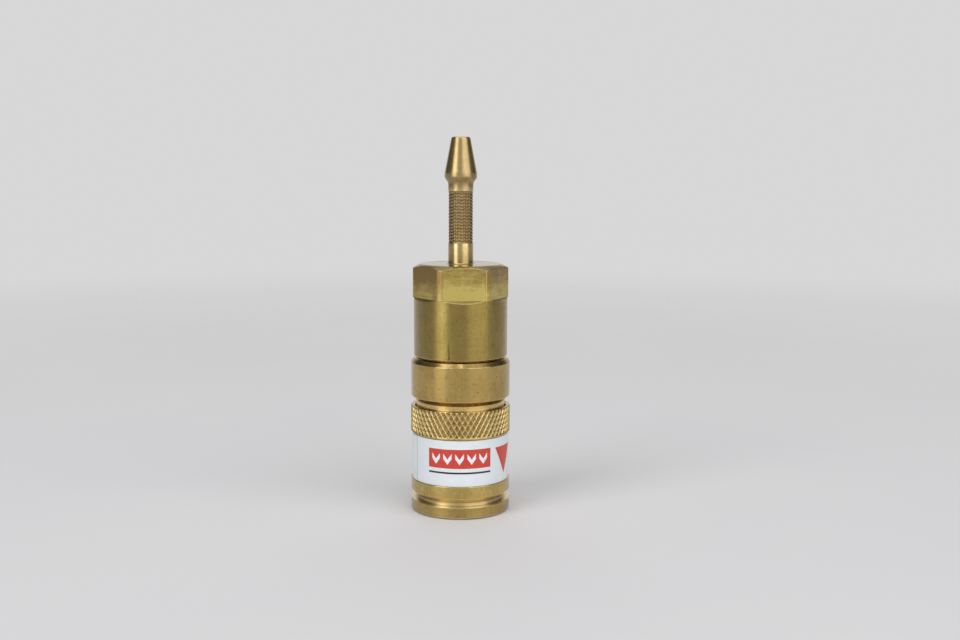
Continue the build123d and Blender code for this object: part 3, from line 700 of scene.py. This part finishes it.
MATERIALS = {
    "body_brass": brass("body_brass", rgb(190, 161, 90), rgb(164, 135, 68), rough=0.15,
                        tarnish=0.8, marks=0.55, pits=0.9, coat=0.55),
    "sleeve_brass": brass("sleeve_brass", rgb(202, 175, 100), rgb(176, 149, 78), rough=0.21,
                          tarnish=0.8, marks=0.65, pits=0.9, coat=0.55),
    "housing_brass": brass("housing_brass", rgb(158, 136, 66), rgb(139, 117, 52), rough=0.28,
                           tarnish=0.9, marks=0.85, pits=0.9, coat=0.55,
                           scar=(-2.25, 35.1, 38.0, 0.36)),
    "tail_brass": brass("tail_brass", rgb(190, 167, 114), rgb(170, 145, 92), rough=0.35,
                        tarnish=0.6, marks=0.5, pits=0.3, coat=0.4),
    "valve_brass": brass("valve_brass", rgb(226, 200, 132), rgb(200, 170, 104), rough=0.26,
                         tarnish=0.3, marks=0.8, pits=0.0),
    "sintered_bronze": sintered("sintered_bronze"),
    "spring_steel": steel("spring_steel", rgb(176, 176, 178), rough=0.3),
    "ball_steel": steel("ball_steel", rgb(208, 208, 210), rough=0.08, marks=0.2),
    "black_steel": steel("black_steel", rgb(58, 58, 60), rough=0.45),
    "seal_rubber": rubber("seal_rubber"),
    "label": film("label", rgb(226, 232, 236), rgb(218, 224, 230)),
}
# Brighter brass as painted light on the shaded neck and finger groove, clean brass that hands
# don't reach, and the milled flats.
NECK_LIT_BRASS = brass("neck_lit_brass", rgb(242, 210, 132), rgb(230, 192, 112), rough=0.18,
                   tarnish=0.4, marks=0.5, pits=0.3)
GROOVE_LIT_BRASS = brass("groove_lit_brass", rgb(246, 226, 168), rgb(236, 210, 146), rough=0.28,
                     tarnish=0.4, marks=0.5, pits=0.3)
TOP_BRASS = brass("top_brass", rgb(206, 182, 118), rgb(186, 160, 98), rough=0.22,
                  tarnish=0.8, pits=0.6)
MILLED_BRASS = milled("milled_brass", rgb(214, 194, 110), rgb(148, 119, 62))
RED_INK = film("red_ink", rgb(206, 62, 44), rgb(190, 54, 40), rough=0.4)
BLACK_INK = film("black_ink", rgb(34, 32, 34), rgb(44, 42, 44), rough=0.4)
WHITE_INK = film("white_ink", rgb(232, 236, 242), rgb(224, 229, 236))


def dress(piece, body, slot, nodes=(), material=None):
    """Give a piece its material, picked by slot name unless one is given, attach it to its body,
    and hide the CAD nodes that it stands for.
    """
    piece.data.materials.clear()
    piece.data.materials.append(material or MATERIALS[slot])
    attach(piece, body)
    if nodes:
        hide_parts(*nodes)
    return piece


def brighten_faces(piece, material, inside):
    """Give the faces for which inside(r, z) is true a second, brighter brass: painted light on
    the shaded neck and finger groove, and clean brass on the housing's top face and foot.
    """
    piece.data.materials.append(material)
    for polygon in piece.data.polygons:
        centre = polygon.center / MM
        if inside(math.hypot(centre.x, centre.y), centre.z):
            polygon.material_index = 1


# ---- Coupling body, with its six ball holes ---------------------------------------------
def ball_hole_cutter(number, height):
    """One radial hole: straight from outside, narrowed to a lip at the bore."""
    sides = 40
    stations = [
        (BALL_HOLE_START_R, BALL_LIP_R),
        (BALL_LIP_INNER_R, BALL_LIP_R),
        (BALL_LIP_OUTER_R, BALL_HOLE_R),
        (sleeve_high.x - BALL_HOLE_INSET, BALL_HOLE_R),
    ]
    angle = 2 * math.pi * number / BALL_COUNT
    points = []
    for out, radius in stations:
        for s in range(sides):
            around = 2 * math.pi * s / sides
            across = radius * math.cos(around)
            x = out * math.cos(angle) - across * math.sin(angle)
            y = out * math.sin(angle) + across * math.cos(angle)
            points.append((x, y, height + radius * math.sin(around)))
    last = len(stations) - 1
    faces = [tuple(range(sides))[::-1], tuple(range(last * sides, (last + 1) * sides))]
    for i in range(last):
        for s in range(sides):
            t = (s + 1) % sides
            faces.append((i * sides + s, i * sides + t, (i + 1) * sides + t, (i + 1) * sides + s))
    cutter = link(f"cutter_{number}", points, faces)
    fix_normals(cutter)
    return cutter


def cut_away(piece, cutter):
    """Take the cutter's space out of the piece and remove the cutter."""
    change = piece.modifiers.new("cut", "BOOLEAN")
    change.operation = "DIFFERENCE"
    change.solver = "EXACT"
    change.object = cutter
    seen = bpy.context.evaluated_depsgraph_get()
    mesh = bpy.data.meshes.new_from_object(piece.evaluated_get(seen))
    piece.modifiers.clear()
    piece.data = mesh
    bpy.data.objects.remove(cutter)


sleeve_high = box_mm("release_sleeve")[1]
body_outline = outline_of("coupling_body")
body_r = max(p[0] for p in body_outline)
collar_top_z = max(p[1] for p in body_outline if p[0] > body_r - 0.02)
bevel_top_z = collar_top_z + 0.8
bevel_low_r = body_r - 0.75


def body_row(r, z, wear, grime):
    """Darken the bevel on top of the collar with painted shade that tones down its reflection,
    and leave the deep groove behind it without darkening.
    """
    if z > collar_top_z and r > bevel_low_r:
        return r, z, wear * 0.5, 0.6
    return r, z, wear, 0.0 if z > bevel_top_z else grime


def neck_and_groove(r, z):
    """The groove behind the collar's bevel, and the neck that the sleeve slides over."""
    in_groove = z > bevel_top_z and r < bevel_low_r
    on_neck = r < body_r - 0.1 and sleeve_high.z - 2.5 < z < sleeve_high.z + 2.2
    return in_groove or on_neck


body_rows = [body_row(*row) for row in soften(body_outline)]
body_piece = revolve("turned_body", body_rows, BODY_STEPS)
fix_normals(body_piece)
ball_low, ball_high = box_mm("locking_ball_1")
ball_z = (ball_low.z + ball_high.z) / 2
for number in range(BALL_COUNT):
    cut_away(body_piece, ball_hole_cutter(number, ball_z))
dress(body_piece, "coupler_body", "body_brass", ["coupling_body"])
# the neck and the groove behind the bevel get brighter brass, painted light where they lie in
# shade
brighten_faces(body_piece, NECK_LIT_BRASS, neck_and_groove)

# ---- Inlet housing with its six milled flats ----------------------------------------------
housing_low, housing_high = box_mm("inlet_housing")
housing_top_z = housing_high.z
ledge_z = housing_top_z - FLATS_HEIGHT
# The half plane goes through a corner of the hexagon, just off the exact middle of a land.
housing_outline = outline_of("inlet_housing", FRONT_DEG + HEX_TURN_DEG + 30.01)
hex_corner_r = max(p[0] for p in housing_outline)
housing_r = max(p[0] for p in housing_outline if p[1] < ledge_z - 1.0)
housing_rows = soften(housing_outline)
outside = [
    i
    for i, (r, z, *marks) in enumerate(housing_rows)
    if r > HEX_CHAMFER_R - 0.12 and z > ledge_z - 1.0
]
housing_rows[outside[0] : outside[-1] + 1] = hex_rows(
    HOUSING_STEPS, housing_r, hex_corner_r, ledge_z, housing_top_z
)


def untouched_housing(r, z):
    """The top face round the hose tail, and the chamfer at the foot."""
    on_top = z > housing_top_z - 0.03 and r < HEX_CHAMFER_R
    on_foot = z < housing_low.z + 0.4 and r < housing_r - 0.03
    return on_top or on_foot


housing = revolve("turned_housing", housing_rows, HOUSING_STEPS)
fix_normals(housing)
dress(housing, "coupler_body", "housing_brass", ["inlet_housing"])
brighten_faces(housing, TOP_BRASS, untouched_housing)
housing.data.materials.append(MILLED_BRASS)
tone = np.zeros(len(housing.data.vertices))
height = np.zeros(len(housing.data.vertices))
for polygon in housing.data.polygons:
    centre = polygon.center / MM
    out = polygon.normal
    if centre.z <= ledge_z - 0.6 or math.hypot(centre.x, centre.y) <= HEX_FLAT_R - 0.2:
        continue
    if abs(out.z) >= 0.3:
        continue
    polygon.material_index = 2
    lean = math.degrees(math.atan2(out.y, out.x)) - FRONT_DEG - HEX_TURN_DEG
    on_flat = abs((lean + 30.0) % 60.0 - 30.0) < 2.0
    # each flat's and land's brownness is partly painted shade; the height over the ledge paints a
    # reflection low on each flat
    flat_brown_and_shade = FLAT_BROWN_AND_SHADE[round(lean / 60.0) % len(FLAT_BROWN_AND_SHADE)]
    for index in polygon.vertices:
        tone[index] = flat_brown_and_shade if on_flat else max(tone[index], LAND_BROWN_AND_SHADE)
        up = housing.data.vertices[index].co.z / MM - ledge_z
        height[index] = up / FLATS_HEIGHT
add_layer(housing.data, "tone", tone)
add_layer(housing.data, "up", height)

# ---- Hose tail with its finely knurled neck ------------------------------------------------
tail_outline = outline_of("hose_tail")


def tail_points(low, high):
    """The tail's outside points between two heights over the housing."""
    low_z, high_z = housing_top_z + low, housing_top_z + high
    return [p for p in tail_outline if low_z < p[1] < high_z and p[0] > TAIL_BORE_R]


neck = tail_points(3.0, 17.0)
knurl_r = min(p[0] for p in neck)
knurl_zs = sorted(p[1] for p in neck if abs(p[0] - knurl_r) < 0.02)
tail_low_z, tail_top_z = knurl_zs[0] + 0.1, knurl_zs[-1] - 0.1
tail_base_r = min(p[0] for p in tail_points(0.3, 3.0))
fillet = max(p[0] for p in tail_points(-0.1, 0.3)) - tail_base_r


def tail_row(r, z, wear, grime):
    """Brown the neck above the knurl, and turn the brazed bead at the tail's foot into the clean,
    hollow fillet that the photo shows."""
    up = z - housing_top_z
    if tail_top_z < z < tail_top_z + 3.2 and r > TAIL_BORE_R:
        return r, z, wear, max(grime, 0.55)
    if 0 < up < fillet + 0.1 and r > tail_base_r - 0.01:
        drop = max(fillet - up, 0.0)
        hollow_r = tail_base_r + fillet - math.sqrt(fillet**2 - drop**2)
        return min(r, hollow_r), z, 0.0, 0.0
    return r, z, wear, grime


tail_rows = [tail_row(*row) for row in soften(tail_outline, TAIL_EDGE_R)]
tail_row_count = round((tail_top_z - tail_low_z) / TAIL_ROW_HEIGHT * TAIL_STEPS)
tail_rows = with_rows(tail_rows, tail_low_z, tail_top_z, tail_row_count)
tail = revolve("turned_tail", tail_rows, TAIL_LINES * TAIL_STEPS,
               tail_shape(tail_low_z, tail_top_z, knurl_r))
fix_normals(tail)
dress(tail, "coupler_body", "tail_brass", ["hose_tail"])

# ---- Release sleeve with its diamond knurl ---------------------------------------------------
sleeve_r = sleeve_high.x
label_low, label_high = box_mm("sleeve_label")
band_low_z = label_high.z + LABEL_EDGE_GAP + SLEEVE_SHOULDER + GRIP_MARGIN
band_top_z = sleeve_high.z - GRIP_BEVEL - 0.03
line_pitch = 2 * math.pi * sleeve_r / GRIP_LINES
row_height = line_pitch / GRIP_STEPS / math.tan(math.radians(GRIP_LEAN_DEG))
grip_rows = int((band_top_z - band_low_z) / row_height)
band_top_z = band_low_z + grip_rows * row_height
sleeve_outline = outline_of("release_sleeve")
# the ring under the groove ends at the lowest outside corner above the foot's own edge
ring_top_z = min(z for r, z in sleeve_outline if abs(r - sleeve_r) < 0.02 and z > 1.5)


def sleeve_row(r, z, wear, grime):
    """Dull the ring under the finger groove."""
    return r, z, wear, max(grime, 0.45) if z < ring_top_z else grime


def in_finger_groove(r, z):
    return sleeve_r - GROOVE_REACH < r < sleeve_r - 0.05 and z < label_low.z - 2.0


sleeve_rows = with_rows(soften(sleeve_outline), band_low_z, band_top_z, grip_rows)
sleeve_rows = [sleeve_row(*row) for row in sleeve_rows]
sleeve = revolve("turned_sleeve", sleeve_rows, GRIP_LINES * GRIP_STEPS,
                 grip_shape(band_low_z, band_top_z, sleeve_r))
fix_normals(sleeve)
dress(sleeve, "sleeve", "sleeve_brass", ["release_sleeve"])
# the finger groove gets brighter brass, painted light where it lies in shade
brighten_faces(sleeve, GROOVE_LIT_BRASS, in_finger_groove)

# ---- Label film, with its end lapped over its beginning --------------------------------------
LABEL_SEAT_R = label_high.x - LABEL_THICK
LABEL_R = LABEL_SEAT_R + FILM_GAP + FILM_THICK


def label_film():
    """One turn and a bit of film: its end rises on to its beginning over the last degrees."""
    heights = [label_low.z, label_low.z + HOLDING_GAP, label_high.z - HOLDING_GAP, label_high.z]
    outer, inner = [], []
    for k in range(LABEL_STEPS + 1):
        turned = (360.0 + LABEL_OVERLAP_DEG) * k / LABEL_STEPS
        lift = min(max((turned - 358.0) / 3.0, 0.0), 1.0)
        inside = LABEL_SEAT_R + FILM_GAP + (FILM_THICK + 0.002) * lift
        degrees = LABEL_SEAM_DEG + turned
        outer.append([on_cylinder(inside + FILM_THICK, degrees, z) for z in heights])
        inner.append([on_cylinder(inside, degrees, z) for z in heights])
    return shell("label_film", outer, inner)


dress(label_film(), "sleeve", "label", ["sleeve_label"])

# A thin grey line printed along the lapped end.
SEAM_LINE_DEG = LABEL_SEAM_DEG + LABEL_OVERLAP_DEG + 0.4
SEAM_LINE_HALF_WIDTH = 0.05
SEAM_GREY = film("seam_line", rgb(128, 132, 140), rgb(150, 152, 158))
seam_strip = ink("seam_line", SEAM_LINE_DEG, SEAM_LINE_HALF_WIDTH, level(label_low.z), level(label_high.z))
dress(seam_strip, "sleeve", "label", material=SEAM_GREY)

# Print: a plain red panel with white flow chevrons, a thin black rule and a red flow triangle.
PANEL_TOP_Z = label_high.z - 1.9
PANEL_LOW_Z = PANEL_TOP_Z - 4.2
PANEL_HALF_WIDTH = 7.2
RULE_LOW_Z = PANEL_LOW_Z - 1.2
RULE_HEIGHT = 0.4
CHEVRON_COUNT = 5
CHEVRON_PITCH = 2 * PANEL_HALF_WIDTH / (CHEVRON_COUNT + 0.4)
CHEVRON_HALF_WIDTH = 0.95
CHEVRON_TIP_Z = PANEL_LOW_Z + 0.85
CHEVRON_SLOPE = 1.35
CHEVRON_BAND = 1.15
TRIANGLE_DEG = FRONT_DEG + 63.0
TRIANGLE_HALF_WIDTH = 3.2
TRIANGLE_TOP_Z = label_high.z - 2.1
TRIANGLE_LOW_Z = label_low.z + 1.75


def chevron_low(u):
    return CHEVRON_TIP_Z + abs(u) * CHEVRON_SLOPE


def chevron_high(u):
    return chevron_low(u) + CHEVRON_BAND


def triangle_low(u):
    share = abs(u) / TRIANGLE_HALF_WIDTH
    return TRIANGLE_LOW_Z + share * (TRIANGLE_TOP_Z - TRIANGLE_LOW_Z) - 0.001


def printed(name, colour, *where, **how):
    dress(ink(name, *where, **how), "sleeve", "label", material=colour)


panel_edges = level(PANEL_LOW_Z), level(PANEL_TOP_Z)
rule_edges = level(RULE_LOW_Z), level(RULE_LOW_Z + RULE_HEIGHT)
printed("print_panel", RED_INK, FRONT_DEG, PANEL_HALF_WIDTH, *panel_edges)
printed("print_rule", BLACK_INK, FRONT_DEG, PANEL_HALF_WIDTH, *rule_edges)
for number in range(CHEVRON_COUNT):
    along = (number - (CHEVRON_COUNT - 1) / 2) * CHEVRON_PITCH
    degrees = FRONT_DEG + math.degrees(along / LABEL_R)
    printed(f"print_chevron_{number + 1}", WHITE_INK, degrees, CHEVRON_HALF_WIDTH,
            chevron_low, chevron_high, step=0.1, layer=1)
printed("print_triangle", RED_INK, TRIANGLE_DEG, TRIANGLE_HALF_WIDTH,
        triangle_low, level(TRIANGLE_TOP_Z))

# ---- Springs -----------------------------------------------------------------------------
SPRINGS = [
    # name, CAD node, body, wire radius, turns, fixed end, joint, travel in mm
    ("sleeve_coil", "sleeve_spring", "sleeve_rotor", 0.375, 8.5, "high", "sleeve_slide", 1.3),
    ("shutoff_coil", "shutoff_spring", "coupler_body", 0.35, 8.0, "high",
     "shutoff_valve_slide", 2.5),
    ("check_coil", "check_valve_spring", "coupler_body", 0.2, 6.0, "low",
     "check_valve_slide", 1.2),
]
for name, node, body, wire_r, turns, fixed, joint, travel in SPRINGS:
    low, high = box_mm(node)
    spring = coil(name, high.x - wire_r, wire_r, low.z, high.z, turns)
    fix_normals(spring)
    dress(spring, body, "spring_steel", [node])
    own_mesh(spring)

# ---- CAD nodes that are shown as they are ---------------------------------------------------
slot_of = {entry["node"]: entry["material_slot"] for entry in frame["record"]["subparts"]}
for node, piece in frame["nodes"].items():
    piece.data.materials.clear()
    piece.data.materials.append(MATERIALS[slot_of[node]])


# ---- Floor, light and camera -----------------------------------------------------------------
FLOOR_R = 1500.0
FLOOR_FADE_NEAR = 120.0
FLOOR_FADE_FAR = 620.0
BACKDROP = rgb(215, 215, 215)
ROOM_PALE = rgb(215, 214, 212)
ROOM_FRONT = rgb(136, 136, 138)
ROOM_DIM = rgb(44, 44, 46)
ROOM_HIGH = rgb(112, 112, 114)
ROOM_FLOOR = rgb(208, 206, 204)
CAMERA_PLACE = (0.0043, -0.258, 0.0753)
CAMERA_DOWN_DEG = 7.258
CAMERA_ROLL_DEG = 0.22
LIGHTS_AIM = (0, 0, 0.04)


def paper(name, near, far):
    """Pale paper that thins out with distance, so that the floor has no edge."""
    g = Graph(name, Metallic=0.0, Roughness=0.7, Specular_IOR_Level=0.3)
    mottle = g.ramp(g.noise(0.012, 3.0, 0.5), 0.3, 0.7)
    g.fill(
        Base_Color=g.mix(mottle, rgb(228, 227, 228), rgb(225, 224, 226)),
        Normal=g.bump(g.noise(1.5, 3.0, 0.6), 0.01, 0.3),
        Alpha=g.ramp(g.radius, near, far, 1.0, 0.0),
    )
    return g.material


def studio_floor():
    """A round sheet of paper under the part."""
    rings, steps = 24, 96
    radii = [0.5] + [FLOOR_R * (k / rings) ** 2 for k in range(1, rings + 1)]
    points = [on_cylinder(r, 360.0 * s / steps, 0.0) for r in radii for s in range(steps)]
    faces = [tuple(range(steps))]
    for i in range(len(radii) - 1):
        for s in range(steps):
            t = (s + 1) % steps
            faces.append((i * steps + s, (i + 1) * steps + s, (i + 1) * steps + t, i * steps + t))
    floor = link("paper_floor", points, faces)
    floor.data.materials.append(paper("floor_paper", FLOOR_FADE_NEAR, FLOOR_FADE_FAR))


def softbox(name, azimuth_deg, distance, height, width, tall, power):
    """A soft light that looks at the part, in metres. Azimuth 0 is the camera's side."""
    light = bpy.data.lights.new(name, "AREA")
    light.shape = "RECTANGLE"
    light.size = width
    light.size_y = tall
    light.energy = power
    made = bpy.data.objects.new(name, light)
    azimuth = math.radians(azimuth_deg)
    made.location = (distance * math.sin(azimuth), -distance * math.cos(azimuth), height)
    aim = Vector(LIGHTS_AIM) - made.location
    made.rotation_euler = aim.to_track_quat("-Z", "Y").to_euler()
    bpy.context.scene.collection.objects.link(made)


def room():
    """The world: pale behind the part, dim at its sides, half bright in front of it and above
    it, and a plain backdrop where the camera sees it."""
    world = bpy.data.worlds.new("studio")
    world.use_nodes = True
    tree = world.node_tree
    back = tree.nodes["Background"]
    place = tree.nodes.new("ShaderNodeTexCoord")
    split = tree.nodes.new("ShaderNodeSeparateXYZ")
    tree.links.new(place.outputs["Generated"], split.inputs[0])

    def blend(value, low, high, first, second):
        share = tree.nodes.new("ShaderNodeMapRange")
        share.interpolation_type = "SMOOTHSTEP"
        share.inputs["From Min"].default_value = low
        share.inputs["From Max"].default_value = high
        tree.links.new(value, share.inputs["Value"])
        return choose(share.outputs["Result"], first, second)

    def choose(share, first, second):
        tone = tree.nodes.new("ShaderNodeMix")
        tone.data_type = "RGBA"
        tree.links.new(share, tone.inputs[0])
        for slot, colour in ((6, first), (7, second)):
            if isinstance(colour, bpy.types.NodeSocket):
                tree.links.new(colour, tone.inputs[slot])
            else:
                tone.inputs[slot].default_value = colour
        return tone.outputs[2]

    sides = blend(split.outputs["Y"], -0.75, -0.3, ROOM_FRONT, ROOM_DIM)
    high = blend(split.outputs["Z"], 0.3, 0.75, sides, ROOM_HIGH)
    above = blend(split.outputs["Y"], 0.62, 0.92, high, ROOM_PALE)
    around = blend(split.outputs["Z"], -0.02, 0.02, ROOM_FLOOR, above)
    seen = tree.nodes.new("ShaderNodeLightPath")
    tree.links.new(choose(seen.outputs["Is Camera Ray"], around, BACKDROP), back.inputs["Color"])
    bpy.context.scene.world = world


def studio():
    """Two large boxes at the camera's sides, one overhead and a small one high in front."""
    studio_floor()
    softbox("left_box", -46, distance=1.6, height=0.85, width=0.92, tall=2.35, power=16.8)
    softbox("right_box", 46, distance=1.6, height=0.81, width=1.81, tall=1.92, power=16.8)
    softbox("top_box", 0, distance=0.2, height=1.6, width=1.9, tall=4.0, power=16.5)
    softbox("small_box", 0, distance=0.4, height=0.95, width=0.08, tall=0.3, power=0.35)
    room()
    bpy.context.scene.view_settings.view_transform = "Standard"


def camera():
    """The photo's view: close, level with the part and tipped down a little."""
    lens = bpy.data.cameras.new("camera")
    lens.sensor_width = 36.0
    lens.lens = 44.0
    lens.clip_start = 0.01
    made = bpy.data.objects.new("camera", lens)
    made.location = CAMERA_PLACE
    tilt = Matrix.Rotation(math.radians(90 - CAMERA_DOWN_DEG), 4, "X")
    roll = Matrix.Rotation(math.radians(CAMERA_ROLL_DEG), 4, "Z")
    made.rotation_euler = (tilt @ roll).to_euler()
    bpy.context.scene.collection.objects.link(made)
    bpy.context.scene.camera = made


studio()
camera()
